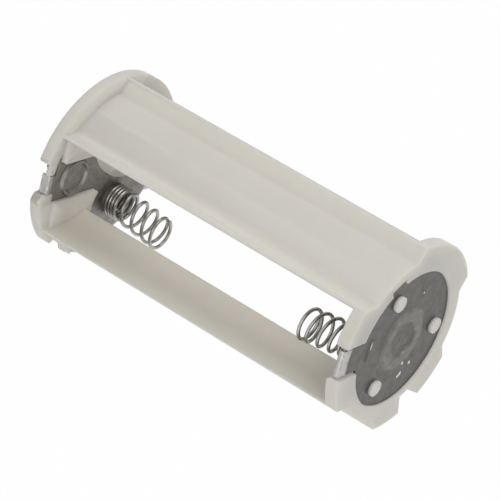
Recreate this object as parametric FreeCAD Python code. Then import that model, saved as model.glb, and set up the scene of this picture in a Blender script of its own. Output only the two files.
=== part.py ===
import FreeCAD, Part
import math
import os

V = FreeCAD.Vector

# Cylindrical holder for three round cells, standing on its lower end face.
# +Z runs along the axis from the lower end to the upper end. The origin is the
# centre of the lower end face. Angles are counted from +X towards +Y.
# The open bay seen from the front looks towards -Y.

# Overall size
flange_r = 16.0
length = 62.0
face_round = 0.25

# The cells and their bays
cell_dia = 14.5
cell_room = 0.15
bay_r = cell_dia / 2 + cell_room
bay_centre = 8.54
bay_draft = 7.3
bay_front, bay_right, bay_left = 270.0, 30.0, 150.0
rail_left, rail_right, rail_back = 210.0, 330.0, 90.0
rails = (rail_left, rail_right, rail_back)

# End walls, measured from each outer face inwards
wall_plus = 2.2
wall_minus = 1.25
divider_top = 3.0
pocket_r = flange_r - 1.2
slot_half = 3.5
ledge_at = 12.65
ledge_round = 0.5
hub_r = 4.4

# Round land beside each bridge, measured from the axis away from the bridge
land_r = 11.5
land_at = 10.3
land_shift = 1.1

# Long rails between the bays, with a shallow recess along the back of each
ridge_at = 7.8
recess_r = flange_r - 2.05
recess_floor_turn = 20.5
recess_top_turn = 27.0
recess_corner = 0.4
recess_end = 2.6

# Sheet metal
sheet = 0.3
fit = 0.15
disc_r = 11.5
disc_depth = 0.7
leaf_r = 13.8
leaf_head_half = 4.2
leaf_head_edge = 13.25
leaf_lap = 0.3
leaf_corner_at = 11.2
leaf_corner_turn = 41.0
ear_reach = 12.5
ear_half = 1.7
ear_angle = 208.5

# Heat stakes that hold the outer discs
stake_at = 8.5
stake_r = 0.9
stake_head_r = 1.3
stake_stand = 0.6

# Rim notches and folds
fold_rim = flange_r - 0.6
tab_half = 2.2
notch_half = 2.75
notch_round = 0.8
window_at = 12.4
hook_half = 1.6
hook_rim = flange_r - 1.7
hook_bend = 0.4
hook_angle = bay_front + 0.8
hook_floor = flange_r - 2.7
hook_lip_r = flange_r - 0.7
hook_step = 1.5
hook_notch_half = 2.75
hook_notch_round = 1.0
hook_notch_angle = bay_front - 2.2
trim_r = flange_r - 1.55
trim_floor_turn, trim_top_turn = 27.3, 30.2
edge_notch_r = flange_r - 1.3
edge_notch_from, edge_notch_to = 329.0, 340.0
side_notch_r = 12.3
side_tab_half = 0.8
side_tab_angle = 24.8

# Contacts
dish_ring_r = 2.9
dish_rise = 0.5
joggle_at = 1.5
seat_boss_r = 1.75
seat_hole_r = 1.1
seat_rise = 0.45

# Pressed marks on the upper disc: (radius, angle) of each
ring_out, ring_in, ring_rise = 5.4, 3.3, 0.35
dimple = (8.1, 159.5)
dimple_r = 0.8
bead_at = 9.0
bead_from, bead_to = 256.0, 278.0
bead_half = 0.35
mark_rise = 0.2

# Coil springs
wire = 0.58
coil_r = 2.55
closed_turns = 4.0
open_turns = 3.5
tip_lean = 1.0
end_turns = 0.75
lengths_per_turn = 11
wire_sides = 8
spring_front = 10.3
spring_side = 11.0
lean_front, lean_side = 0.0, -10.0
big = 40.0


def polar(r, deg):
    return V(r * math.cos(math.radians(deg)), r * math.sin(math.radians(deg)), 0)


def cylinder(r, z0, z1, x=0.0, y=0.0):
    return Part.makeCylinder(r, z1 - z0, V(x, y, z0))


def prism(points, z0, z1):
    pts = [V(p[0], p[1], z0) for p in points]
    return Part.Face(Part.makePolygon(pts + [pts[0]])).extrude(V(0, 0, z1 - z0))


def turned(shape, deg):
    out = shape.copy()
    out.rotate(V(0, 0, 0), V(0, 0, 1), deg)
    return out


def slab(x0, x1, half, z0, z1, deg):
    """Block from x0 to x1 along a direction, half wide to each side."""
    return turned(Part.makeBox(x1 - x0, 2 * half, z1 - z0, V(x0, -half, z0)), deg)


def rim_ring(r, z0, z1, a0, a1):
    """Part of a ring outside r, from angle a0 to angle a1."""
    ring = cylinder(flange_r + 2, z0, z1).cut(cylinder(r, z0, z1))
    steps = 8
    fan = [(0, 0)]
    for i in range(steps + 1):
        p = polar(flange_r + 4, a0 + (a1 - a0) * i / steps)
        fan.append((p.x, p.y))
    return ring.common(prism(fan, z0, z1))


def beyond(dist, z0, z1, deg):
    """Everything farther than dist along a direction."""
    return slab(dist, dist + big, big, z0, z1, deg)


def union(shapes):
    out = shapes[0]
    for s in shapes[1:]:
        out = out.fuse(s)
    return out.removeSplitter()


def upper(shape):
    """The same thing seen from the other end of the holder."""
    return shape.mirror(V(0, 0, length / 2), V(0, 0, 1))


def revolve(points):
    """Ring or disc turned from a closed outline of (radius, height)."""
    pts = [V(p[0], 0, p[1]) for p in points]
    return Part.Face(Part.makePolygon(pts + [pts[0]])).revolve(V(0, 0, 0), V(0, 0, 1), 360)


def bay(z0, z1, deg, gap=0.0):
    """Round bay for a cell with its drafted mouth, open to the outside."""
    r = bay_r - gap
    a = math.radians(bay_draft)
    px, py = bay_centre - r * math.sin(a), r * math.cos(a)
    reach = flange_r * 1.5
    qy = py + (reach - px) * math.tan(a)
    mouth = prism([(px, -py), (reach, -qy), (reach, qy), (px, py)], z0, z1)
    return turned(cylinder(r, z0, z1, bay_centre, 0).fuse(mouth).removeSplitter(), deg)


def slot(z0, z1, deg, gap=0.0):
    """Straight slot that only lets the button of a cell through."""
    return slab(0, ledge_at + leaf_lap, slot_half - gap, z0, z1, deg)


def scoop(r, floor_turn, top_turn, z0, z1, deg):
    """Shallow cut in the round outside: concentric floor, sloped sides."""
    foot, top = polar(r, floor_turn), polar(flange_r, top_turn)
    a, b = foot - (top - foot) * 0.2, foot + (top - foot) * 2.0
    far = flange_r + 2
    wedge = prism([(a.x, -a.y), (b.x, -b.y), (far, -b.y), (far, b.y), (b.x, b.y), (a.x, a.y)],
                  z0, z1)
    return turned(wedge.cut(cylinder(r, z0, z1)), deg)


def blank():
    """Round bar with the three rail recesses and soft outer edges."""
    bar = cylinder(flange_r, 0, length)
    for deg in rails:
        bar = bar.cut(scoop(recess_r, recess_floor_turn, recess_top_turn, recess_end,
                            length + 1, deg))
    crests = [e for e in bar.Edges if e.Length > length / 2 and len(e.Vertexes) == 2
              and abs(math.hypot(e.CenterOfMass.x, e.CenterOfMass.y) - flange_r) < 0.01]
    bar = bar.makeFillet(recess_corner, crests)
    ends = [e for e in bar.Edges if min(abs(e.BoundBox.ZMin - z) + abs(e.BoundBox.ZMax - z)
                                        for z in (0, length)) < 1e-3]
    return bar.makeFillet(face_round, ends)


def round_corner(x, y, r, z0, z1, deg):
    """Takes the corner at (x, y) off a wall that lies inwards and sideways of it."""
    side = 1 if y > 0 else -1
    y0 = y if side > 0 else y - r
    block = Part.makeBox(r, r, z1 - z0, V(x - r, y0, z0))
    return turned(block.cut(cylinder(r, z0, z1, x - r, y + side * r)), deg)


def land(mid, side, z0, z1, gap=0.0):
    """Round land that borders a bridge; it lies on the side away from the bridge."""
    c = polar(land_at, mid + 180) + polar(land_shift, side)
    return cylinder(land_r + gap, z0, z1, c.x, c.y)


def toward(minus, mid):
    """Direction square to mid that points to the minus bay."""
    return mid + 90 if math.cos(math.radians(minus - mid - 90)) > 0 else mid - 90


def end_opening(pluses, minuses, open_bay, mid):
    """Space between the end wall and the long rails, for one end."""
    top = divider_top + 1
    cuts = [cylinder(hub_r, wall_plus, top)]
    for deg in pluses:
        cuts.append(slot(wall_plus, top, deg))
        cuts.append(bay(wall_plus, top, deg).common(beyond(ledge_at, wall_plus, top, deg)))
        for y in (slot_half, -slot_half):
            cuts.append(round_corner(ledge_at, y, ledge_round, wall_plus, top, deg))
    for deg in minuses:
        cuts.append(bay(wall_plus, top, deg))
        pocket = bay(wall_minus, top, deg)
        if deg != open_bay:
            pocket = pocket.common(cylinder(pocket_r, wall_minus, top))
        if math.cos(math.radians(deg - mid)) > 0:
            pocket = pocket.cut(land(mid, toward(deg, mid), wall_minus, wall_plus))
        cuts.append(pocket)
    return union(cuts)


def outer_pocket():
    """Shallow round pocket of an outer disc, with its ear."""
    return cylinder(disc_r, -1, disc_depth).fuse(
        slab(disc_r - 3, ear_reach, ear_half, -1, disc_depth, ear_angle))


def rim_notch(deg):
    """Way of a folded tab over the rim, with soft corners where it meets the bay."""
    cuts = [slab(disc_r - 3, flange_r + 2, notch_half, -1, disc_depth, deg),
            slab(fold_rim, flange_r + 2, notch_half, -1, divider_top, deg),
            slab(pocket_r - 1, flange_r + 2, notch_half, wall_minus, divider_top, deg)]
    for y, r in ((notch_half, notch_round), (-notch_half, notch_round / 2)):
        side = 1 if y > 0 else -1
        x0, reach = pocket_r - 1, flange_r + 3 - pocket_r
        block = Part.makeBox(reach, r, r, V(x0, min(y, y + side * r), wall_plus - r))
        rod = Part.makeCylinder(r, reach, V(x0, y + side * r, wall_plus - r), V(1, 0, 0))
        cuts.append(turned(block.cut(rod), deg))
    return union(cuts)


def window(deg):
    """Way of a folded tab through the end wall, inside a whole rim."""
    out = window_at + 0.05 + sheet + fit
    return slab(disc_r - 3, out, notch_half, -1, disc_depth, deg).fuse(
        slab(window_at, out, notch_half, -1, divider_top, deg))


def leaf_seat(plus, mid, side):
    """Shallow seat for the raised leaf of a bridge, up to the land beside it."""
    z0, z1 = wall_plus - sheet, wall_plus + 1
    seat = cylinder(hub_r, z0, z1).fuse(slot(z0, z1, plus))
    return seat.cut(land(mid, side, z0, z1))


def head_seat(plus):
    """Seat for the wide head of a raised leaf, beyond the ledge."""
    z0, z1 = wall_plus - sheet, wall_plus + 1
    head = cylinder(leaf_r, z0, z1).common(bay(z0, z1, plus))
    head = head.common(beyond(ledge_at, z0, z1, plus))
    return head.cut(beyond(leaf_corner_at, z0, z1, plus + leaf_corner_turn))


def leaf_head(z0, deg):
    """Head of a raised leaf, lying in its seat with a small gap all round."""
    head = slab(ledge_at + fit, leaf_head_edge, leaf_head_half, z0, z0 + sheet, deg)
    head = head.common(cylinder(leaf_r - fit, z0, z0 + sheet))
    return head.cut(beyond(leaf_corner_at - fit, z0, z0 + sheet, deg + leaf_corner_turn))


def tab_channel(half, deg):
    """Shallow channel that lets the tab of a raised leaf out over the rim."""
    return slab(ledge_at + leaf_lap, flange_r + 2, half, wall_plus - sheet, wall_plus + 1, deg)


def stakes(head_z0, head_z1, foot_z):
    """Three stakes with formed heads."""
    parts = []
    for deg in rails:
        p = polar(stake_at, deg)
        parts.append(cylinder(stake_r, foot_z, head_z0 + 0.01, p.x, p.y)
                     if foot_z < head_z0 else cylinder(stake_r, head_z1 - 0.01, foot_z, p.x, p.y))
        head = cylinder(stake_head_r, head_z0, head_z1, p.x, p.y)
        parts.append(head)
    return parts


def joggled(plus, minus, mid, reach, gap):
    """Bridge sheet: raised leaf at the plus bay, low leaf at the minus bay."""
    side = toward(minus, mid)
    z_up, z_low = wall_plus - sheet, wall_minus
    raised = union([cylinder(hub_r - gap, z_up, z_up + sheet),
                    slot(z_up, z_up + sheet, plus, gap)])
    raised = raised.cut(beyond(joggle_at + sheet, -1, divider_top, side))
    low = bay(z_low, z_low + sheet, minus, gap)
    low = low.common(beyond(joggle_at, -1, divider_top, side))
    low = low.common(cylinder(reach - gap, -1, divider_top))
    riser = bay(z_low, z_up + sheet, minus, gap).common(
        slab(joggle_at, joggle_at + sheet, big, z_low, z_up + sheet, side))
    riser = riser.common(cylinder(hub_r - gap, z_low, z_up + sheet))
    return union([raised, low, riser]).cut(land(mid, side, -1, divider_top, gap))


def dish(z0):
    """Raised ring around a flat contact dish, in one sheet thickness."""
    r, h, t = dish_ring_r, dish_rise, sheet
    return revolve([(r + 0.45, z0), (r + 0.45, z0 + t), (r + 0.3, z0 + t + 0.12),
                    (r + 0.15, z0 + t + h), (r - 0.25, z0 + t + h), (r - 0.55, z0 + t + 0.05),
                    (0, z0 + t + 0.05), (0, z0 + 0.05), (r - 0.4, z0 + 0.05),
                    (r - 0.2, z0 + h), (r + 0.05, z0 + h), (r + 0.2, z0)])


def with_dish(plate, deg, z0):
    p = polar(bay_centre, deg)
    hole = cylinder(dish_ring_r + 0.35, z0 - 0.1, z0 + 2, p.x, p.y)
    ring = dish(z0)
    ring.translate(p)
    return plate.cut(hole).fuse(ring).removeSplitter()


def with_seat(plate, deg, z0):
    """Low collar with a hole that keeps the foot of a spring in place."""
    p = polar(bay_centre, deg)
    collar = cylinder(seat_boss_r, z0, z0 + sheet + seat_rise, p.x, p.y)
    hole = cylinder(seat_hole_r, z0 - 0.1, z0 + 1, p.x, p.y)
    return plate.fuse(collar).cut(hole).removeSplitter()


def fold(z0, z1, rim, half, deg):
    """Tab bent round the rim: a U of sheet from height z0 to height z1."""
    r_in, r_out = rim + 0.05, rim + 0.05 + sheet
    h = z1 - z0
    outer = Part.makeBox(r_out - rim + 1.2, 2 * half, h, V(rim - 1.2, -half, z0))
    edges = [e for e in outer.Edges
             if abs(e.CenterOfMass.x - r_out) < 1e-6 and abs(e.CenterOfMass.y) < 1e-6]
    outer = outer.makeFillet(min(0.5, h / 2 - 0.02), edges)
    inner = Part.makeBox(r_in - rim + 1.3, 2 * half, h - 2 * sheet,
                         V(rim - 1.3, -half, z0 + sheet))
    return turned(outer.cut(inner), deg)


def outer_disc(fold_deg, rim):
    """Outer contact disc with its ear, stake holes, pressed ring and tab root."""
    z0 = disc_depth - sheet
    plate = union([cylinder(disc_r - fit, z0, z0 + sheet),
                   slab(disc_r - 3, ear_reach - fit, ear_half - fit, z0, z0 + sheet, ear_angle),
                   slab(disc_r - 3, rim - 1.1, tab_half, z0, z0 + sheet, fold_deg)])
    for deg in rails:
        p = polar(stake_at, deg)
        plate = plate.cut(cylinder(stake_r + 0.05, z0 - 1, z0 + 1, p.x, p.y))
    plate = plate.cut(cylinder(ring_out - 0.1, z0 - 1, z0 + 1))
    top, low = z0 - ring_rise, z0 - ring_rise + sheet
    ring = revolve([(ring_out + 0.1, z0 + sheet), (ring_out + 0.1, z0), (ring_out - 0.2, z0 - 0.08),
                    (ring_out - 0.7, top), (ring_in, top), (ring_in - 0.6, z0 - 0.1),
                    (0, z0 - 0.16), (0, z0 + 0.14), (ring_in - 0.45, z0 + 0.2),
                    (ring_in + 0.15, low), (ring_out - 0.85, low), (ring_out - 0.4, z0 + sheet)])
    return plate.fuse(ring).removeSplitter()


def pressed_marks(z0):
    """Round dimple and long bead that stand out of the upper disc."""
    p = polar(dimple[0], dimple[1])
    r = (dimple_r ** 2 + mark_rise ** 2) / (2 * mark_rise)
    ball = Part.makeSphere(r, V(p.x, p.y, z0 - mark_rise + r))
    marks = [ball.common(cylinder(dimple_r + 1, z0 - 1, z0 + 0.05, p.x, p.y))]
    a, b = polar(bead_at, bead_from), polar(bead_at, bead_to)
    run = b - a
    rb = (bead_half ** 2 + mark_rise ** 2) / (2 * mark_rise)
    lift = V(0, 0, z0 - mark_rise + rb)
    rod = Part.makeCylinder(rb, run.Length, a + lift, run)
    rod = rod.fuse(Part.makeSphere(rb, a + lift)).fuse(Part.makeSphere(rb, b + lift))
    box = Part.makeBox(2 * flange_r, 2 * flange_r, 1.05, V(-flange_r, -flange_r, z0 - 1))
    marks.append(rod.common(box))
    return marks


def minus_leaf(deg, rim):
    """Low leaf that fills the pocket of a minus bay."""
    leaf = bay(wall_minus, wall_minus + sheet, deg, fit).common(
        cylinder(rim, wall_minus, wall_minus + sheet))
    # the hub stays free for the bridge beside it
    return leaf.cut(cylinder(hub_r + 0.4, 0, divider_top))


def make_body():
    body = blank()
    mid0, mid1 = divider_top, length - divider_top
    hexa = [polar(ridge_at * 2, a) for a in (bay_front, bay_right, bay_left)]
    cuts = [prism([(p.x, p.y) for p in hexa], mid0, mid1)]
    for deg in (bay_front, bay_right, bay_left):
        cuts.append(bay(mid0, mid1, deg))
    for c in cuts:
        body = body.cut(c)
    low_side, top_side = toward(bay_right, rail_right), toward(bay_left, rail_back)
    body = body.cut(end_opening((bay_front, bay_left), (bay_right,), bay_right, rail_right))
    body = body.cut(upper(end_opening((bay_right,), (bay_front, bay_left), None, rail_back)))
    body = body.cut(leaf_seat(bay_front, rail_right, low_side))
    body = body.cut(head_seat(bay_front))
    body = body.cut(upper(leaf_seat(bay_right, rail_back, top_side)))
    # seat, window and outer pocket of the lower terminal
    body = body.cut(slab(hub_r + fit, ledge_at + leaf_lap, slot_half, wall_plus - sheet,
                         wall_plus + 1, bay_left))
    body = body.cut(window(bay_left)).cut(outer_pocket())
    body = body.cut(upper(outer_pocket().fuse(rim_notch(bay_front))))
    # hook notch of the lower bridge: deep below, shallow above
    deep = slab(hook_floor, flange_r + 2, hook_notch_half, -1, hook_step, 0)
    inner = [e for e in deep.Edges if abs(e.CenterOfMass.x - hook_floor) < 1e-6
             and e.BoundBox.ZLength > 1]
    deep = deep.makeFillet(hook_notch_round, inner)
    body = body.cut(turned(deep, hook_notch_angle))
    body = body.cut(slab(hook_notch_half, flange_r + 2, hook_notch_half, -1, divider_top,
                         hook_notch_angle).cut(cylinder(hook_lip_r, -2, divider_top + 1)))
    body = body.cut(slab(hook_rim, flange_r + 2, hook_half + fit, -1, divider_top, hook_angle))
    body = body.cut(tab_channel(hook_half + fit, hook_angle))
    # trimmed rim at the lower minus bay
    body = body.cut(scoop(trim_r, trim_floor_turn, trim_top_turn, -1, wall_plus, bay_right))
    # small notch in the lower rim
    body = body.cut(rim_ring(edge_notch_r, -1, recess_end + 0.1, edge_notch_from,
                             edge_notch_to))
    # notch in the upper rim for the tab of the upper bridge
    corners = [polar(side_notch_r, 20.3), polar(18.5, 19.8), polar(18.5, 42.0),
               polar(15.83, 37.5), polar(13.22, 31.7), polar(side_notch_r, 29.3)]
    body = body.cut(prism([(p.x, p.y) for p in corners], length - wall_plus, length + 1))
    # stakes with their formed heads
    z0 = disc_depth - sheet
    for s in stakes(0.1, z0, disc_depth + 0.1):
        body = body.fuse(s)
    for s in stakes(z0 - stake_stand, z0, disc_depth + 0.1):
        body = body.fuse(upper(s))
    return body.removeSplitter()


def make_upper_terminal():
    z0 = disc_depth - sheet
    plate = outer_disc(bay_front, fold_rim)
    leaf = minus_leaf(bay_front, pocket_r - fit)
    root = slab(11.0, fold_rim - 1.1, tab_half, wall_minus, wall_minus + sheet, bay_front)
    bend = fold(z0, wall_minus + sheet, fold_rim, tab_half, bay_front)
    out = union([plate, leaf, root, bend] + pressed_marks(z0))
    return upper(with_seat(out, bay_front, wall_minus))


def make_lower_terminal():
    z0 = disc_depth - sheet
    z_up = wall_plus - sheet
    plate = outer_disc(bay_left, window_at)
    leaf = slab(hub_r + 2 * fit, window_at - 1.5, slot_half - fit, z_up, z_up + sheet, bay_left)
    root = slab(window_at - 2, window_at - 1.1, tab_half, z_up, z_up + sheet, bay_left)
    bend = fold(z0, z_up + sheet, window_at, tab_half, bay_left)
    return with_dish(union([plate, leaf, root, bend]), bay_left, z_up)


def make_lower_bridge():
    z_up = wall_plus - sheet
    plate = joggled(bay_front, bay_right, rail_right, trim_r, fit)
    head = leaf_head(z_up, bay_front)
    face = hook_rim + 0.05 + sheet
    # tab over the rim, bent down into the notch
    tab = Part.makeBox(face - 11.0, 2 * hook_half, z_up + sheet - 0.6, V(11.0, -hook_half, 0.6))
    bend = [e for e in tab.Edges if abs(e.CenterOfMass.x - face) < 1e-6
            and abs(e.CenterOfMass.z - z_up - sheet) < 1e-6]
    tab = tab.makeFillet(hook_bend, bend)
    under = Part.makeBox(face - sheet - 10.0, 2 * hook_half + 2, z_up - 0.5,
                         V(10.0, -hook_half - 1, 0.5))
    tab = turned(tab.cut(under), hook_angle)
    out = with_dish(union([plate, head, tab]), bay_front, z_up)
    return with_seat(out, bay_right, wall_minus)


def make_upper_bridge():
    z_up = wall_plus - sheet
    plate = joggled(bay_right, bay_left, rail_back, pocket_r, fit)
    root = slab(10.0, side_notch_r + 0.05 + sheet, side_tab_half, z_up, z_up + sheet,
                side_tab_angle)
    down = slab(side_notch_r + 0.05, side_notch_r + 0.05 + sheet, side_tab_half, 0.6,
                z_up + sheet, side_tab_angle)
    plate = plate.cut(beyond(side_notch_r - 0.2, 0, divider_top, bay_right))
    out = union([plate, root, down])
    out = with_dish(out, bay_right, z_up)
    return upper(with_seat(out, bay_left, wall_minus))


def make_spring(deg, free, turn0, lean_deg):
    """Wire spring in short mitred lengths: close turns, open turns, a flat end turn.

    The tip leans by tip_lean towards lean_deg."""
    z0 = wall_minus + sheet + wire / 2
    top = wall_minus + sheet + free - wire / 2
    centre = polar(bay_centre, deg)
    total = closed_turns + open_turns + end_turns
    closed_h = closed_turns * wire * 1.04
    pts = []
    n = int(total * lengths_per_turn)
    for i in range(n + 1):
        k = total * i / n
        if k < closed_turns:
            z = z0 + closed_h * k / closed_turns
        elif k < closed_turns + open_turns:
            u = (k - closed_turns) / open_turns
            z = z0 + closed_h + (top - z0 - closed_h) * u
        else:
            z = top
        a = math.radians(turn0 + 360 * k)
        off = polar(tip_lean * max(z - z0 - closed_h, 0) / (top - z0 - closed_h), lean_deg)
        pts.append(V(centre.x + off.x + coil_r * math.cos(a),
                     centre.y + off.y + coil_r * math.sin(a), z))
    along = (pts[1] - pts[0]).normalize()
    side = (pts[0] - V(centre.x, centre.y, pts[0].z)).normalize()
    side = (side - along * side.dot(along)).normalize()
    up = along.cross(side)
    corners = []
    for i in range(wire_sides):
        c = polar(wire / 2, 360 * (i + 0.5) / wire_sides)
        corners.append(pts[0] + side * c.x + up * c.y)
    section = Part.makePolygon(corners + [corners[0]])
    return Part.makePolygon(pts).makePipeShell([section], True, True, 1)


os.makedirs("parts", exist_ok=True)
nodes = {
    "holder_body": make_body(),
    "upper_terminal": make_upper_terminal(),
    "upper_bridge": make_upper_bridge(),
    "lower_bridge": make_lower_bridge(),
    "lower_terminal": make_lower_terminal(),
    "spring_front": upper(make_spring(bay_front, spring_front, 0, lean_front)),
    "spring_right": make_spring(bay_right, spring_side, 40, lean_side),
    "spring_left": upper(make_spring(bay_left, spring_front, 0, lean_front)),
}
for name, shape in nodes.items():
    shape.exportStep("parts/" + name + ".step")
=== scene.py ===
"""Looks of a round holder for three cylindrical cells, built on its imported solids.

Lengths are in metres, in the frame of the solids: +Z runs along the holder from its
lower end to its upper end, and the front bay opens towards -Y. Angles are in degrees,
from +X towards +Y.
"""

import logging
import math
from dataclasses import dataclass, field
from enum import Enum, auto

import bmesh
import bpy
import numpy as np
from mathutils import Matrix, Vector


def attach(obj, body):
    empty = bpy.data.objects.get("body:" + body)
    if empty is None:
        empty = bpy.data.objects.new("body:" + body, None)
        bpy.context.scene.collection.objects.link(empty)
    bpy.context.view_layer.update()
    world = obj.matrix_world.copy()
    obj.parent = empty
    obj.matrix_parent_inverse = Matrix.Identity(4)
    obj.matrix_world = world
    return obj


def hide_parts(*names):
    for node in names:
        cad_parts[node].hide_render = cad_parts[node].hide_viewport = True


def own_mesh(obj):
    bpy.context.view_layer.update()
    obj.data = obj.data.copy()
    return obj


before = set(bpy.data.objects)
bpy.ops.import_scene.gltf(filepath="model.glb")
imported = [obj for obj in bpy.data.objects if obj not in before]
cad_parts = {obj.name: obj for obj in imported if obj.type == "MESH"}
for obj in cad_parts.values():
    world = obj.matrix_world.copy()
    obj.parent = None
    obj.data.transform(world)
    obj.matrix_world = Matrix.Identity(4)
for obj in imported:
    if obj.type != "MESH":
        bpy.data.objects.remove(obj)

log = logging.getLogger("cell_holder")
MM = 0.001
TINY = 1e-9


class Tone(Enum):
    """Plain colours of the holder's materials, in linear light."""

    PLASTIC = (0.714, 0.693, 0.634)
    PLASTIC_WARM = (0.835, 0.800, 0.725)
    PLASTIC_AGED = (0.640, 0.600, 0.540)
    SHEET = (0.124, 0.120, 0.112)
    SHEET_DARK = (0.082, 0.079, 0.073)
    # Painted light: a lighter copy of the sheet for the bridges inside the bays.
    SHEET_PAINTED_LIT = (0.265, 0.253, 0.232)
    # Painted highlight for sheet that is folded over the rim.
    SHEET_PAINTED_HIGHLIGHT = (0.500, 0.490, 0.470)
    # Painted highlight for the pressed ring of the upper disc.
    SHEET_RING_HIGHLIGHT = (0.182, 0.177, 0.166)
    # Painted highlight for small spots on the upper disc.
    SHEET_SPOT_HIGHLIGHT = (0.560, 0.550, 0.530)
    WIRE = (0.420, 0.410, 0.392)
    WHITE = (1.0, 1.0, 1.0)


class Foot(Enum):
    """Which end wall the foot of a spring stands on."""

    LOWER = auto()
    UPPER = auto()


class Socket(Enum):
    """Kinds of sockets of a node group."""

    COLOR = "NodeSocketColor"
    VALUE = "NodeSocketFloat"


def rgba(tone: Tone) -> tuple[float, float, float, float]:
    """Gives a tone full alpha.

    Args:
        tone: The tone.

    Returns:
        Its colour with alpha 1.
    """
    return (*tone.value, 1.0)


@dataclass
class Nodes:
    """Small helper that adds and joins shader nodes in one tree.

    Args:
        tree: The node tree that is filled.
    """

    tree: bpy.types.NodeTree

    def add(self, kind: str, **sockets: object) -> bpy.types.Node:
        """Adds a node and sets its inputs.

        Args:
            kind: The node's type name.
            sockets: Input names, with underscores for spaces, and their values.

        Returns:
            The new node.
        """
        node = self.tree.nodes.new(kind)
        for name, value in sockets.items():
            node.inputs[name.replace("_", " ")].default_value = value
        return node

    def use(self, group: bpy.types.NodeTree, **sockets: object) -> bpy.types.Node:
        """Adds a node that stands for a group and sets its inputs.

        Args:
            group: The node group.
            sockets: Input names and their values.

        Returns:
            The new node.
        """
        node = self.add("ShaderNodeGroup")
        node.node_tree = group
        for name, value in sockets.items():
            node.inputs[name].default_value = value
        return node

    def join(self, out: bpy.types.NodeSocket, into: bpy.types.NodeSocket) -> None:
        """Joins an output to an input.

        Args:
            out: The output.
            into: The input.
        """
        self.tree.links.new(out, into)

    def calc(self, operation: str, first: bpy.types.NodeSocket,
             second: bpy.types.NodeSocket | float) -> bpy.types.NodeSocket:
        """Combines two values.

        Args:
            operation: The name of the calculation.
            first: The first value.
            second: The second value, from a node or fixed.

        Returns:
            The result.
        """
        node = self.add("ShaderNodeMath")
        node.operation = operation
        self.join(first, node.inputs[0])
        if isinstance(second, float):
            node.inputs[1].default_value = second
        else:
            self.join(second, node.inputs[1])
        return node.outputs[0]

    def blend(self, factor: bpy.types.NodeSocket, first: bpy.types.NodeSocket | Tone,
              second: bpy.types.NodeSocket | Tone) -> bpy.types.NodeSocket:
        """Mixes two colours.

        Args:
            factor: 0 for the first colour and 1 for the second.
            first: The first colour, from a node or fixed.
            second: The second colour, from a node or fixed.

        Returns:
            The mixed colour.
        """
        mix = self.add("ShaderNodeMix")
        mix.data_type = "RGBA"
        self.join(factor, mix.inputs["Factor"])
        for shade, into in ((first, mix.inputs[6]), (second, mix.inputs[7])):
            if isinstance(shade, Tone):
                into.default_value = rgba(shade)
            else:
                self.join(shade, into)
        return mix.outputs[2]


def open_group(name: str, inputs: dict[str, Socket],
               outputs: dict[str, Socket]) -> tuple[Nodes, bpy.types.Node, bpy.types.Node]:
    """Starts a node group with named inputs and outputs.

    Args:
        name: The group's name.
        inputs: The names and kinds of its inputs.
        outputs: The names and kinds of its outputs.

    Returns:
        The helper that fills the group, its input node and its output node.
    """
    group = bpy.data.node_groups.new(name, "ShaderNodeTree")
    for way, sockets in (("INPUT", inputs), ("OUTPUT", outputs)):
        for socket, kind in sockets.items():
            group.interface.new_socket(name=socket, in_out=way, socket_type=kind.value)
    kit = Nodes(group)
    return kit, kit.add("NodeGroupInput"), kit.add("NodeGroupOutput")


def mottle_group() -> bpy.types.NodeTree:
    """Builds the group that varies a colour in soft patches and fine specks.

    The colour goes from the base towards the second colour by the product of a coarse
    noise, stretched to 0..1, and the amount. The mask is the coarse noise by itself, and
    the height is a noise nine times as fine.

    Returns:
        The node group, with inputs Base, Second, Scale, Amount and outputs Color, Mask
        and Height.
    """
    kit, given, result = open_group(
        "soft_mottle",
        {"Base": Socket.COLOR, "Second": Socket.COLOR, "Scale": Socket.VALUE,
         "Amount": Socket.VALUE},
        {"Color": Socket.COLOR, "Mask": Socket.VALUE, "Height": Socket.VALUE})
    finer = 9.0
    place = kit.add("ShaderNodeTexCoord")
    coarse = kit.add("ShaderNodeTexNoise", Detail=5.0, Roughness=0.6)
    fine = kit.add("ShaderNodeTexNoise", Detail=3.0, Roughness=0.7)
    spread = kit.add("ShaderNodeMapRange", From_Min=0.35, From_Max=0.65)
    kit.join(place.outputs["Object"], coarse.inputs["Vector"])
    kit.join(place.outputs["Object"], fine.inputs["Vector"])
    kit.join(given.outputs["Scale"], coarse.inputs["Scale"])
    kit.join(kit.calc("MULTIPLY", given.outputs["Scale"], finer), fine.inputs["Scale"])
    kit.join(coarse.outputs["Fac"], spread.inputs["Value"])
    part = kit.calc("MULTIPLY", spread.outputs["Result"], given.outputs["Amount"])
    shown = kit.blend(part, given.outputs["Base"], given.outputs["Second"])
    kit.join(shown, result.inputs["Color"])
    kit.join(spread.outputs["Result"], result.inputs["Mask"])
    kit.join(fine.outputs["Fac"], result.inputs["Height"])
    return kit.tree


def inner_group() -> bpy.types.NodeTree:
    """Builds the group that marks what lies near to the holder's axis.

    The mask is 1 nearer to the axis than Inner and 0 farther than Outer, by the distance
    sqrt(x^2 + y^2) of a point from the axis.

    Returns:
        The node group, with inputs Inner and Outer and the output Mask.
    """
    kit, given, result = open_group(
        "inner_mask", {"Inner": Socket.VALUE, "Outer": Socket.VALUE}, {"Mask": Socket.VALUE})
    place = kit.add("ShaderNodeTexCoord")
    flat, reach = kit.add("ShaderNodeVectorMath"), kit.add("ShaderNodeVectorMath")
    flat.operation, reach.operation = "MULTIPLY", "LENGTH"
    flat.inputs[1].default_value = (1.0, 1.0, 0.0)
    fade = kit.add("ShaderNodeMapRange")
    fade.interpolation_type = "SMOOTHSTEP"
    kit.join(place.outputs["Object"], flat.inputs[0])
    kit.join(flat.outputs[0], reach.inputs[0])
    kit.join(reach.outputs["Value"], fade.inputs["Value"])
    kit.join(given.outputs["Outer"], fade.inputs["From Min"])
    kit.join(given.outputs["Inner"], fade.inputs["From Max"])
    kit.join(fade.outputs["Result"], result.inputs["Mask"])
    return kit.tree


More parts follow.
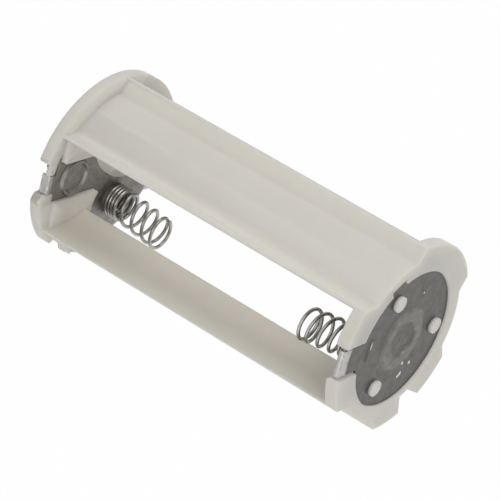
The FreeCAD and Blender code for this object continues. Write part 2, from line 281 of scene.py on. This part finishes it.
def scratch_group() -> bpy.types.NodeTree:
    """Builds the group that draws sparse fine scratches.

    A noise that is stretched along one direction is cut to its highest ridges, so that
    the mask is Amount on thin short lines and 0 elsewhere.

    Returns:
        The node group, with inputs Scale and Amount and the output Mask.
    """
    kit, given, result = open_group(
        "fine_scratches", {"Scale": Socket.VALUE, "Amount": Socket.VALUE}, {"Mask": Socket.VALUE})
    place = kit.add("ShaderNodeTexCoord")
    turn = kit.add("ShaderNodeMapping", Rotation=(0.3, 0.2, 0.7), Scale=(1.0, 14.0, 2.0))
    ridges = kit.add("ShaderNodeTexNoise", Detail=2.0, Roughness=0.5)
    cut = kit.add("ShaderNodeMapRange", From_Min=0.70, From_Max=0.76)
    kit.join(place.outputs["Object"], turn.inputs["Vector"])
    kit.join(turn.outputs["Vector"], ridges.inputs["Vector"])
    kit.join(given.outputs["Scale"], ridges.inputs["Scale"])
    kit.join(ridges.outputs["Fac"], cut.inputs["Value"])
    part = kit.calc("MULTIPLY", cut.outputs["Result"], given.outputs["Amount"])
    kit.join(part, result.inputs["Mask"])
    return kit.tree


@dataclass(frozen=True)
class Groups:
    """The node groups that the finishes share."""

    mottle: bpy.types.NodeTree = field(default_factory=mottle_group)
    inner: bpy.types.NodeTree = field(default_factory=inner_group)
    scratches: bpy.types.NodeTree = field(default_factory=scratch_group)


def open_material(name: str) -> tuple[bpy.types.Material, Nodes, bpy.types.Node]:
    """Starts a material with one plain shader.

    Args:
        name: The material's name.

    Returns:
        The material, the helper that fills its tree, and its shader.
    """
    material = bpy.data.materials.new(name)
    material.use_nodes = True
    return material, Nodes(material.node_tree), material.node_tree.nodes["Principled BSDF"]


@dataclass(frozen=True)
class Relief:
    """Corners that look rounded, and a fine grain."""

    corner: float
    samples: int
    strength: float
    depth: float

    def join(self, kit: Nodes, height: bpy.types.NodeSocket, shader: bpy.types.Node) -> None:
        """Gives a shader its normal.

        Args:
            kit: The tree that is filled.
            height: The height of the grain.
            shader: The shader.
        """
        soft = kit.add("ShaderNodeBevel", Radius=self.corner)
        soft.samples = self.samples
        grain = kit.add("ShaderNodeBump", Strength=self.strength, Distance=self.depth)
        kit.join(height, grain.inputs["Height"])
        kit.join(soft.outputs["Normal"], grain.inputs["Normal"])
        kit.join(grain.outputs["Normal"], shader.inputs["Normal"])


@dataclass(frozen=True)
class Wear:
    """A roughness that rises with a mask."""

    roughness: float
    rise: float

    def join(self, kit: Nodes, mask: bpy.types.NodeSocket, shader: bpy.types.Node) -> None:
        """Gives a shader its roughness.

        Args:
            kit: The tree that is filled.
            mask: 0 where the surface is smoothest and 1 where it is roughest.
            shader: The shader.
        """
        span = kit.add("ShaderNodeMapRange", To_Min=self.roughness,
                       To_Max=self.roughness + self.rise)
        kit.join(mask, span.inputs["Value"])
        kit.join(span.outputs["Result"], shader.inputs["Roughness"])


@dataclass(frozen=True)
class MouldedPlastic:
    """Natural off-white moulded plastic with a satin surface and softened corners."""

    name: str = "moulded_plastic"
    base: Tone = Tone.PLASTIC
    inside: Tone = Tone.PLASTIC_WARM
    second: Tone = Tone.PLASTIC_AGED
    wear: Wear = Wear(0.44, 0.14)
    relief: Relief = Relief(0.50 * MM, 8, 0.10, 0.03 * MM)
    glow: float = 0.60
    glow_reach: tuple[float, float, float] = (2.2 * MM, 2.1 * MM, 1.7 * MM)
    patch_scale: float = 70.0
    patching: float = 0.16
    inside_to: float = 8.5 * MM
    outside_from: float = 14.5 * MM
    scratch_scale: float = 60.0
    scratching: float = 0.5

    def make(self, groups: Groups) -> bpy.types.Material:
        """Builds the material, which is warmer deep inside the bays.

        Args:
            groups: The shared node groups.

        Returns:
            The material.
        """
        material, kit, shader = open_material(self.name)
        shader.inputs["Subsurface Weight"].default_value = self.glow
        shader.inputs["Subsurface Radius"].default_value = self.glow_reach
        shader.inputs["Subsurface Scale"].default_value = 1.0
        patches = kit.use(groups.mottle, Second=rgba(self.second), Scale=self.patch_scale,
                          Amount=self.patching)
        deep = kit.use(groups.inner, Inner=self.inside_to, Outer=self.outside_from)
        marks = kit.use(groups.scratches, Scale=self.scratch_scale, Amount=self.scratching)
        kit.join(kit.blend(deep.outputs["Mask"], self.base, self.inside), patches.inputs["Base"])
        kit.join(patches.outputs["Color"], shader.inputs["Base Color"])
        self.wear.join(kit, marks.outputs["Mask"], shader)
        self.relief.join(kit, patches.outputs["Height"], shader)
        return material


@dataclass(frozen=True)
class PlatedMetal:
    """Nickel plate over sheet or wire, dull on sheet and brighter on wire, with a painted
    highlight on the sheet where it is folded over the rim.
    """

    name: str
    base: Tone
    second: Tone
    wear: Wear
    mottling: float
    painted_fold_highlight: Tone = Tone.SHEET_PAINTED_HIGHLIGHT
    ring_highlight: Tone | None = None
    relief: Relief = Relief(0.08 * MM, 6, 0.12, 0.02 * MM)
    patch_scale: float = 900.0
    highlight_fade_start: float = 13.7 * MM
    highlight_full_from: float = 14.2 * MM
    scratch_scale: float = 160.0
    scratching: float = 0.6
    ring_feet: tuple[tuple[float, float], ...] = ((4.8 * MM, 5.6 * MM), (2.7 * MM, 3.6 * MM))

    def make(self, groups: Groups) -> bpy.types.Material:
        """Builds the material, with a painted highlight where the sheet is folded over the rim.

        Args:
            groups: The shared node groups.

        Returns:
            The material.
        """
        material, kit, shader = open_material(self.name)
        shader.inputs["Metallic"].default_value = 1.0
        patches = kit.use(groups.mottle, Second=rgba(self.second), Scale=self.patch_scale,
                          Amount=self.mottling)
        flat = kit.use(groups.inner, Inner=self.highlight_fade_start, Outer=self.highlight_full_from)
        marks = kit.use(groups.scratches, Scale=self.scratch_scale, Amount=self.scratching)
        # Painted highlight: farther from the axis than highlight_fade_start the plate turns to a
        # light tone.
        shown = kit.blend(flat.outputs["Mask"], self.painted_fold_highlight, self.base)
        # Painted highlight on the pressed ring, where a ring tone is given.
        if self.ring_highlight is not None:
            shown = self.ring_highlight_band(kit, groups, shown)
        kit.join(shown, patches.inputs["Base"])
        kit.join(patches.outputs["Color"], shader.inputs["Base Color"])
        self.wear.join(kit, patches.outputs["Mask"], shader)
        self.relief.join(kit, marks.outputs["Mask"], shader)
        return material

    def ring_highlight_band(self, kit: Nodes, groups: Groups,
                  base: bpy.types.NodeSocket) -> bpy.types.NodeSocket:
        """Paints a highlight on the pressed ring round the axis, as a lighter band.

        The band is the mask of the ring's outer foot less the mask of its inner foot.

        Args:
            kit: The tree that is filled.
            groups: The shared node groups.
            base: The colour outside the band.

        Returns:
            The colour with the band.
        """
        outer, inner = (kit.use(groups.inner, Inner=near, Outer=far).outputs["Mask"]
                        for near, far in self.ring_feet)
        return kit.blend(kit.calc("SUBTRACT", outer, inner), base, self.ring_highlight)


@dataclass
class Finishes:
    """All materials of the holder, made with one set of node groups."""

    groups: Groups = field(default_factory=Groups)
    plastic: bpy.types.Material = field(init=False)
    sheet: bpy.types.Material = field(init=False)
    painted_lit_sheet: bpy.types.Material = field(init=False)
    spot_highlight: bpy.types.Material = field(init=False)
    wire: bpy.types.Material = field(init=False)

    def __post_init__(self) -> None:
        """Builds every material."""
        self.plastic = MouldedPlastic().make(self.groups)
        self.sheet = PlatedMetal("nickel_sheet", Tone.SHEET, Tone.SHEET_DARK, Wear(0.30, 0.16),
                                 0.30, ring_highlight=Tone.SHEET_RING_HIGHLIGHT).make(self.groups)
        self.spot_highlight = PlatedMetal("nickel_painted_highlight", Tone.SHEET_SPOT_HIGHLIGHT, Tone.SHEET_PAINTED_HIGHLIGHT,
                                  Wear(0.20, 0.16), 0.30).make(self.groups)
        # Painted light: the same plate, made lighter for the bridges inside the bays.
        self.painted_lit_sheet = PlatedMetal("nickel_sheet_painted_lit", Tone.SHEET_PAINTED_LIT, Tone.SHEET,
                                       Wear(0.40, 0.16), 0.35).make(self.groups)
        self.wire = PlatedMetal("nickel_wire", Tone.WIRE, Tone.SHEET, Wear(0.24, 0.16), 0.25,
                                painted_fold_highlight=Tone.WIRE).make(self.groups)


def ring_faces(rows: int, sides: int, flip: bool = False) -> list[list[int]]:
    """Joins rows of points to a tube with one flat face at each end.

    Point j of row i has the number i * sides + j.

    Args:
        rows: The number of rows.
        sides: The number of points in a row.
        flip: Whether the faces go the other way round.

    Returns:
        The corners of every face.
    """
    i, j = np.meshgrid(np.arange(rows - 1), np.arange(sides), indexing="ij")
    k = (j + 1) % sides
    quads = np.stack([i * sides + j, (i + 1) * sides + j, (i + 1) * sides + k, i * sides + k],
                     axis=-1).reshape(-1, 4)
    first, last = list(range(sides)), list(range((rows - 1) * sides, rows * sides))
    if flip:
        return quads[:, [0, 3, 2, 1]].tolist() + [first[::-1], last]
    return quads.tolist() + [first, last[::-1]]


def smooth_mesh(name: str, points: np.ndarray, faces: list[list[int]]) -> bpy.types.Mesh:
    """Makes a mesh with smooth faces.

    Args:
        name: The mesh's name.
        points: Its points, with the coordinates along the last axis.
        faces: The corners of every face.

    Returns:
        The mesh.
    """
    mesh = bpy.data.meshes.new(name)
    mesh.from_pydata(points.reshape(-1, 3).tolist(), [], faces)
    mesh.polygons.foreach_set("use_smooth", np.ones(len(mesh.polygons), bool))
    mesh.update()
    return mesh


def tube_mesh(name: str, path: np.ndarray, radius: float, sides: int) -> bpy.types.Mesh:
    """Carries a circle along a path and closes both ends with round caps.

    At each point of the path the circle lies in the plane of two unit vectors, the part
    of +Z that is square to the path and the cross product of the path with it. The first
    and last rings shrink nearly to a point over one radius, as the quarter of a circle.

    Args:
        name: The mesh's name.
        path: Points of the centre line, one row each.
        radius: Radius of the wire.
        sides: Points round the wire.

    Returns:
        The mesh, with smooth faces that point outwards.
    """
    cap_rings, point_radius = 4, 0.0001 * MM
    along = np.gradient(path, axis=0)
    along /= np.linalg.norm(along, axis=1, keepdims=True)
    up = np.array([0.0, 0.0, 1.0]) - along * along[:, 2:3]
    up /= np.linalg.norm(up, axis=1, keepdims=True)
    side = np.cross(along, up)
    steps = np.linspace(0.0, math.pi / 2, cap_rings + 1)[:-1]
    centres = np.concatenate([path[:1] - along[:1] * radius * np.cos(steps)[:, None], path,
                              path[-1:] + along[-1:] * radius * np.cos(steps[::-1])[:, None]])
    cap = radius * np.sin(steps) + point_radius
    radii = np.concatenate([cap, np.full(len(path), radius), cap[::-1]])
    index = np.pad(np.arange(len(path)), cap_rings, mode="edge")
    turn = np.linspace(0.0, 2 * math.pi, sides, endpoint=False)
    rings = centres[:, None] + radii[:, None, None] * (
        side[index][:, None] * np.cos(turn)[None, :, None]
        + up[index][:, None] * np.sin(turn)[None, :, None])
    return smooth_mesh(name, rings, ring_faces(len(rings), sides))


def dress(node: str, material: bpy.types.Material) -> None:
    """Gives a solid of the frame its material.

    Args:
        node: The name of the solid.
        material: The finish that it gets.
    """
    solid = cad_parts[node]
    solid.data.materials.clear()
    solid.data.materials.append(material)
    log.info("dressed %s with %s", node, material.name)


@dataclass(frozen=True)
class RimCut:
    """A piece of the lower rim that is cut away or filled, between two angles.

    Its inner side lies at the radius floor and rises to the rim over the length first at
    its start and the length last at its end. At its upper height it lies nearer to the
    axis by lean.
    """

    start: float
    end: float
    floor: float
    low: float
    high: float
    first: float = 0.0
    last: float = 0.0
    lean: float = 0.0
    rim: float = 16.02 * MM
    outer: float = 18.0 * MM
    fills: bool = False
    steps: int = 60

    def mesh(self) -> bpy.types.Mesh:
        """Works out the closed surface of the piece.

        The inner radius is floor + (rim - floor) * (3 s^2 - 2 s^3), where s falls from 1
        at an end to 0 after the length that is given for that end. Each angle carries one
        section of four corners, whose upper inner corner is moved inwards by lean.

        Returns:
            The mesh, closed and with outward faces.
        """
        turn = np.radians(np.linspace(self.start, self.end, self.steps + 1))
        near = np.clip(1.0 - (turn - turn[0]) * self.floor / max(self.first, TINY), 0.0, 1.0)
        far = np.clip(1.0 - (turn[-1] - turn) * self.floor / max(self.last, TINY), 0.0, 1.0)
        ramp = np.where(near > 0.0, near * (self.first > 0.0), far * (self.last > 0.0))
        inner = self.floor + (self.rim - self.floor) * ramp ** 2 * (3.0 - 2.0 * ramp)
        wide = np.full(len(turn), self.outer)
        radius = np.stack([inner, wide, wide, inner - self.lean], axis=1)
        height = np.tile([self.low, self.low, self.high, self.high], (len(turn), 1))
        points = np.stack([radius * np.cos(turn)[:, None], radius * np.sin(turn)[:, None], height],
                          axis=-1)
        mesh = smooth_mesh("rim_cut", points, ring_faces(len(turn), 4, flip=True))
        tidy = bmesh.new()
        tidy.from_mesh(mesh)
        bmesh.ops.recalc_face_normals(tidy, faces=tidy.faces)
        tidy.to_mesh(mesh)
        tidy.free()
        return mesh


@dataclass
class MouldedBody:
    """The one-piece plastic body with its end walls and long rails.

    Its surface is a copy of the solid's, in which the two notches of the lower rim have
    the width and depth of the real ones and the rim slopes inwards towards the rails.
    """

    node: str = "holder_body"
    body: str = "holder"
    first_merge: float = 0.0002 * MM
    step_merge: float = 0.001 * MM
    largest_step: float = 30.0 * MM ** 3
    sharp_from: float = 25.0
    cuts: tuple[RimCut, ...] = (
        RimCut(338.0, 358.0, 16.02 * MM, 1.0 * MM, 2.72 * MM, lean=0.85 * MM),
        RimCut(183.0, 237.0, 16.02 * MM, 1.85 * MM, 2.72 * MM, lean=0.75 * MM),
        RimCut(63.0, 117.0, 16.02 * MM, 1.85 * MM, 2.72 * MM, lean=0.75 * MM),
        RimCut(254.5, 285.0, 13.0 * MM, -1.0 * MM, 1.5 * MM, first=2.15 * MM, last=3.75 * MM),
        RimCut(256.0, 280.4, 15.1 * MM, 1.4 * MM, 3.0 * MM, first=0.5 * MM, last=0.5 * MM),
        RimCut(333.4, 340.4, 14.4 * MM, 0.2 * MM, 2.5 * MM, outer=15.9 * MM, fills=True),
        RimCut(313.9, 343.4, 14.75 * MM, -1.0 * MM, 2.72 * MM, first=0.5 * MM, last=2.35 * MM),
    )

    @staticmethod
    def merge(mesh: bpy.types.Mesh, distance: float) -> None:
        """Merges the points of a mesh that lie close together.

        Args:
            mesh: The mesh.
            distance: The greatest distance between merged points.
        """
        shell = bmesh.new()
        shell.from_mesh(mesh)
        bmesh.ops.remove_doubles(shell, verts=shell.verts, dist=distance)
        shell.to_mesh(mesh)
        shell.free()

    @staticmethod
    def measure(mesh: bpy.types.Mesh) -> tuple[int, float]:
        """Measures a surface.

        Args:
            mesh: The surface.

        Returns:
            The number of edges that don't join exactly two faces, and the volume inside.
        """
        shell = bmesh.new()
        shell.from_mesh(mesh)
        count = sum(not edge.is_manifold for edge in shell.edges)
        volume = shell.calc_volume(signed=True)
        shell.free()
        return count, volume

    def after_cut(self, mesh: bpy.types.Mesh, cut: RimCut) -> bpy.types.Mesh:
        """Cuts or fills a surface with one piece.

        Args:
            mesh: The surface, which stays as it is.
            cut: The piece.

        Returns:
            The new surface, with its double points merged.
        """
        rough = bpy.data.objects.new("moulding_rough", mesh)
        tool = bpy.data.objects.new("rim_cut", cut.mesh())
        for piece in (rough, tool):
            bpy.context.scene.collection.objects.link(piece)
        step = rough.modifiers.new("rim", "BOOLEAN")
        step.operation = "UNION" if cut.fills else "DIFFERENCE"
        step.solver, step.object = "EXACT", tool
        graph = bpy.context.evaluated_depsgraph_get()
        after = bpy.data.meshes.new_from_object(rough.evaluated_get(graph))
        self.merge(after, self.step_merge)
        for piece in (tool, rough):
            bpy.data.objects.remove(piece)
        return after

    def trimmed(self) -> bpy.types.Mesh:
        """Copies the solid's surface and cuts or fills its lower rim, one step at a time.

        A step is left out if the surface has more open edges after it, or if the volume
        doesn't change the right way by a small amount.

        Returns:
            The trimmed surface.
        """
        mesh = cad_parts[self.node].data.copy()
        self.merge(mesh, self.first_merge)
        for cut in self.cuts:
            after = self.after_cut(mesh, cut)
            (opened, volume), (was_open, was) = self.measure(after), self.measure(mesh)
            gain = volume - was if cut.fills else was - volume
            if opened <= was_open and 0.0 < gain < self.largest_step:
                mesh = after
            else:
                log.warning("left out the step at %.1f degrees", cut.start)
        return mesh

    def build(self, finishes: Finishes) -> bpy.types.Object:
        """Builds the body and gives it its plastic.

        Args:
            finishes: The holder's materials.

        Returns:
            The body, which stands for the solid.
        """
        mesh = self.trimmed()
        mesh.name = "holder_moulding"
        mesh.materials.clear()
        mesh.materials.append(finishes.plastic)
        mesh.polygons.foreach_set("use_smooth", np.ones(len(mesh.polygons), bool))
        mesh.set_sharp_from_angle(angle=math.radians(self.sharp_from))
        piece = bpy.data.objects.new("holder_moulding", mesh)
        bpy.context.scene.collection.objects.link(piece)
        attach(piece, self.body)
        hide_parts(self.node)
        log.info("built %s with %d faces, %d open edges", piece.name, len(mesh.polygons),
                 self.measure(mesh)[0])
        return piece


@dataclass
class ContactSheets:
    """The four pressed contact sheets at the two ends."""

    discs: tuple[str, ...] = ("upper_terminal", "lower_terminal")
    bridges: tuple[str, ...] = ("upper_bridge", "lower_bridge")

    def dress(self, finishes: Finishes) -> None:
        """Gives every sheet its plate; the bridges get a lighter copy of it, painted light that
        stands in for reflected light inside the bays.

        Args:
            finishes: The holder's materials.
        """
        for node in self.discs:
            dress(node, finishes.sheet)
        for node in self.bridges:
            dress(node, finishes.painted_lit_sheet)


@dataclass(frozen=True)
class DiscMark:
    """A small spot that stands out of the upper disc, round or drawn out, coloured as a painted
    highlight.
    """

    name: str
    reach: float
    turn: float
    half_length: float
    half_width: float
    heading: float = 0.0
    face: float = 61.6 * MM
    rise: float = 0.17 * MM
    rows: int = 13
    sides: int = 20
    last_row: float = 84.0

    def build(self, finishes: Finishes) -> bpy.types.Object:
        """Builds the mark as an ellipsoid, half sunk into the sheet.

        A point is (a cos(s) cos(t), b cos(s) sin(t), h sin(s)) for s between two equal
        latitudes, with half length a, half width b and rise h, turned by the heading.
        Both ends are closed by a small flat face.

        Args:
            finishes: The holder's materials.

        Returns:
            The mark.
        """
        s, t = np.meshgrid(np.radians(np.linspace(-self.last_row, self.last_row, self.rows)),
                           np.linspace(0.0, 2 * math.pi, self.sides, endpoint=False),
                           indexing="ij")
        x = self.half_length * np.cos(s) * np.cos(t)
        y = self.half_width * np.cos(s) * np.sin(t)
        a, b = math.radians(self.heading), math.radians(self.turn)
        points = np.stack([self.reach * math.cos(b) + x * math.cos(a) - y * math.sin(a),
                           self.reach * math.sin(b) + x * math.sin(a) + y * math.cos(a),
                           self.face + self.rise * np.sin(s)], axis=-1)
        mesh = smooth_mesh(self.name, points, ring_faces(self.rows, self.sides, flip=True))
        # Light painted highlight material, which stands in for a glint.
        mesh.materials.append(finishes.spot_highlight)
        piece = bpy.data.objects.new(self.name, mesh)
        bpy.context.scene.collection.objects.link(piece)
        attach(piece, "holder")
        log.info("built %s", piece.name)
        return piece


@dataclass
class DiscMarks:
    """Painted highlights on the upper disc: three small raised marks in a light glint colour, a
    light streak on the crest of its bead and a light spot on one flank of its dimple.
    """

    marks: tuple[DiscMark, ...] = (
        DiscMark("disc_mark_inner", 5.66 * MM, 26.0, 0.30 * MM, 0.26 * MM),
        DiscMark("disc_mark_outer", 7.16 * MM, 39.0, 0.30 * MM, 0.26 * MM),
        DiscMark("disc_mark_long", 7.56 * MM, 19.0, 0.66 * MM, 0.24 * MM, -45.0),
        # Painted highlights: a light streak on the bead's crest and a light spot on one flank of
        # the dimple.
        DiscMark("disc_bead_highlight", 8.87 * MM, 261.6, 0.85 * MM, 0.13 * MM, -3.0, 61.77 * MM,
                 0.06 * MM),
        DiscMark("disc_dimple_highlight", 7.81 * MM, 162.0, 0.22 * MM, 0.16 * MM, 22.0, 61.72 * MM,
                 0.05 * MM),
    )

    def build(self, finishes: Finishes) -> None:
        """Builds every mark.

        Args:
            finishes: The holder's materials.
        """
        for mark in self.marks:
            mark.build(finishes)


@dataclass
class CoilSpring:
    """Round wire spring: close turns at the foot, open turns and a flat end turn."""

    node: str
    body: str
    joint: str
    bay: float
    foot: Foot
    free: float
    first_turn: float
    lean: tuple[float, float]
    foot_height: float = 1.55 * MM
    end_height: float = 62.0 * MM
    bay_centre: float = 8.54 * MM
    coil: float = 2.55 * MM
    wire: float = 0.29 * MM
    wire_sides: int = 14
    close_turns: float = 4.0
    open_turns: float = 3.5
    end_turns: float = 0.75
    close_rise: float = 2.08
    per_turn: int = 56
    blend: int = 14
    travel: float = 5.0 * MM

    def centre_line(self) -> np.ndarray:
        """Works out the helix of the wire.

        A point turns evenly round the axis of the bay. Its height above the foot rises
        by close_rise wire radii in each close turn, then evenly over the open turns, and
        stays level over the last ones, with the corners of that rise smoothed. The axis
        leans evenly with the height above the close turns.

        Returns:
            Points of the centre line, one row each.
        """
        total = self.close_turns + self.open_turns + self.end_turns
        k = np.linspace(0.0, total, int(total * self.per_turn) + 1)
        low = self.close_turns * self.wire * self.close_rise
        top = self.free - self.wire
        height = np.interp(k, [0.0, self.close_turns, self.close_turns + self.open_turns, total],
                           [self.wire, self.wire + low, top, top])
        window = np.hanning(2 * self.blend + 1)
        padded = np.pad(height, self.blend, mode="edge")
        height = np.convolve(padded, window / window.sum(), mode="valid")
        turn = np.radians(self.first_turn + 360.0 * k)
        bend = np.clip((height - self.wire - low) / (top - self.wire - low), 0.0, 1.0)
        rise = bend[:, None] * np.array(self.lean)[None, :]
        a = math.radians(self.bay)
        x = self.bay_centre * math.cos(a) + self.coil * np.cos(turn) + rise[:, 0]
        y = self.bay_centre * math.sin(a) + self.coil * np.sin(turn) + rise[:, 1]
        z = self.foot_height + height
        if self.foot is Foot.UPPER:
            z = self.end_height - z
        return np.stack([x, y, z], axis=1)

    def build(self, material: bpy.types.Material) -> bpy.types.Object:
        """Builds the spring.

        Args:
            material: The finish of the wire.

        Returns:
            The spring, which stands for the solid.
        """
        path, tip = self.centre_line(), self.foot_height + self.free
        if self.foot is Foot.UPPER:
            path, tip = path[::-1].copy(), self.end_height - tip
        spring = bpy.data.objects.new(self.node + "_wire",
                                      tube_mesh(self.node, path, self.wire, self.wire_sides))
        bpy.context.scene.collection.objects.link(spring)
        spring.data.materials.append(material)
        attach(spring, self.body)
        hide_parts(self.node)
        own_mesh(spring)
        log.info("built %s with %d faces", spring.name, len(spring.data.polygons))
        return spring


@dataclass
class SpringSet:
    """The three springs, one for each bay."""

    springs: tuple[CoilSpring, ...] = (
        CoilSpring("spring_front", "front_coil", "front_press", 270.0, Foot.UPPER, 10.3 * MM, 0.0,
                   (1.0 * MM, 0.0)),
        CoilSpring("spring_right", "right_coil", "right_press", 30.0, Foot.LOWER, 11.0 * MM, 40.0,
                   (0.98 * MM, -0.17 * MM)),
        CoilSpring("spring_left", "left_coil", "left_press", 150.0, Foot.UPPER, 10.3 * MM, 0.0,
                   (1.0 * MM, 0.0)),
    )

    def build(self, finishes: Finishes) -> None:
        """Builds every spring.

        Args:
            finishes: The holder's materials.
        """
        for spring in self.springs:
            spring.build(finishes.wire)


@dataclass
class PhotoCamera:
    """The camera of the photograph, as measured from the holder's circles and edges."""

    place: tuple[float, float, float] = (-0.193343, -0.333316, 0.234301)
    right: tuple[float, float, float] = (-0.238038, 0.601412, 0.762654)
    up: tuple[float, float, float] = (-0.863614, 0.228237, -0.449531)
    back: tuple[float, float, float] = (-0.444419, -0.765645, 0.465059)
    lens: float = 202.36
    sensor: float = 36.0
    nearest: float = 0.01
    farthest: float = 20.0

    def build(self) -> bpy.types.Object:
        """Makes the camera and sets it as the scene's own.

        Returns:
            The camera.
        """
        data = bpy.data.cameras.new("photo_camera")
        data.lens, data.sensor_width = self.lens, self.sensor
        data.clip_start, data.clip_end = self.nearest, self.farthest
        camera = bpy.data.objects.new("photo_camera", data)
        turn = Matrix((self.right, self.up, self.back)).transposed().to_4x4()
        camera.matrix_world = Matrix.Translation(Vector(self.place)) @ turn
        bpy.context.scene.collection.objects.link(camera)
        bpy.context.scene.camera = camera
        return camera


@dataclass(frozen=True)
class Lamp:
    """A square soft lamp: its place, its power in watts and its side length."""

    place: tuple[float, float, float]
    power: float
    size: float


@dataclass
class Studio:
    """Plain white floor and world with soft lamps at a plain level."""

    floor_size: float = 3.0
    floor_roughness: float = 0.9
    floor_glow: float = 0.98
    ambient: float = 0.50
    aim: tuple[float, float, float] = (0.0, 0.0, 0.031)
    lamps: tuple[Lamp, ...] = (
        Lamp((-0.60, 0.05, 0.10), 1.25, 0.5),
        Lamp((-0.25, -0.60, 0.45), 0.66, 0.5),
        Lamp((0.38, -0.50, 0.22), 0.60, 0.5),
        Lamp((0.00, 0.40, 0.72), 0.20, 0.12),
        Lamp((0.58, 0.36, 0.66), 0.24, 0.12),
    )

    def floor(self) -> None:
        """Lays the floor, which shows white to the camera and keeps a soft shadow."""
        half = self.floor_size / 2
        mesh = bpy.data.meshes.new("studio_floor")
        mesh.from_pydata([(-half, -half, 0), (half, -half, 0), (half, half, 0), (-half, half, 0)],
                         [], [(0, 1, 2, 3)])
        floor = bpy.data.objects.new("studio_floor", mesh)
        bpy.context.scene.collection.objects.link(floor)
        material, kit, shader = open_material("studio_white")
        surface = kit.tree.nodes["Material Output"].inputs["Surface"]
        shader.inputs["Base Color"].default_value = rgba(Tone.WHITE)
        shader.inputs["Roughness"].default_value = self.floor_roughness
        glow = kit.add("ShaderNodeEmission", Color=rgba(Tone.WHITE), Strength=1.0)
        mix = kit.add("ShaderNodeMixShader")
        kit.join(kit.calc("MULTIPLY", self.seen_white(kit), self.floor_glow), mix.inputs["Fac"])
        kit.join(shader.outputs["BSDF"], mix.inputs[1])
        kit.join(glow.outputs["Emission"], mix.inputs[2])
        kit.join(mix.outputs["Shader"], surface)
        mesh.materials.append(material)

    @staticmethod
    def seen_white(kit: Nodes) -> bpy.types.NodeSocket:
        """Adds up the rays that see the white background.

        Args:
            kit: The tree that is filled.

        Returns:
            A value of 1 for camera, glossy and transmission rays.
        """
        rays = kit.add("ShaderNodeLightPath").outputs
        seen = kit.calc("MAXIMUM", rays["Is Camera Ray"], rays["Is Glossy Ray"])
        return kit.calc("MAXIMUM", seen, rays["Is Transmission Ray"])

    def world(self) -> None:
        """Sets a white background and a plain ambient light."""
        world = bpy.data.worlds.new("studio_world")
        bpy.context.scene.world = world
        world.use_nodes = True
        kit = Nodes(world.node_tree)
        ground = world.node_tree.nodes["Background"]
        ground.inputs["Color"].default_value = rgba(Tone.WHITE)
        ground.inputs["Strength"].default_value = self.ambient
        shown = kit.add("ShaderNodeBackground", Color=rgba(Tone.WHITE), Strength=1.0)
        mix = kit.add("ShaderNodeMixShader")
        kit.join(self.seen_white(kit), mix.inputs["Fac"])
        kit.join(ground.outputs["Background"], mix.inputs[1])
        kit.join(shown.outputs["Background"], mix.inputs[2])
        kit.join(mix.outputs["Shader"], world.node_tree.nodes["World Output"].inputs["Surface"])

    def light(self) -> None:
        """Hangs the soft lamps, each facing the middle of the holder."""
        for number, lamp in enumerate(self.lamps):
            data = bpy.data.lights.new(f"soft_lamp_{number}", "AREA")
            data.energy, data.size = lamp.power, lamp.size
            piece = bpy.data.objects.new(data.name, data)
            piece.location = lamp.place
            piece.rotation_mode = "QUATERNION"
            piece.rotation_quaternion = (Vector(self.aim) - Vector(lamp.place)).to_track_quat(
                "-Z", "Y")
            bpy.context.scene.collection.objects.link(piece)

    def build(self) -> None:
        """Builds floor, world and lamps."""
        self.floor()
        self.world()
        self.light()


def main() -> None:
    """Builds the camera, the finishes, every piece of the holder and the studio."""
    logging.basicConfig(level=logging.INFO, format="%(message)s")
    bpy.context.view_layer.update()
    bpy.context.scene.view_settings.view_transform = "Standard"
    PhotoCamera().build()
    finishes = Finishes()
    MouldedBody().build(finishes)
    ContactSheets().dress(finishes)
    DiscMarks().build(finishes)
    SpringSet().build(finishes)
    Studio().build()


if __name__ == "__main__":
    main()
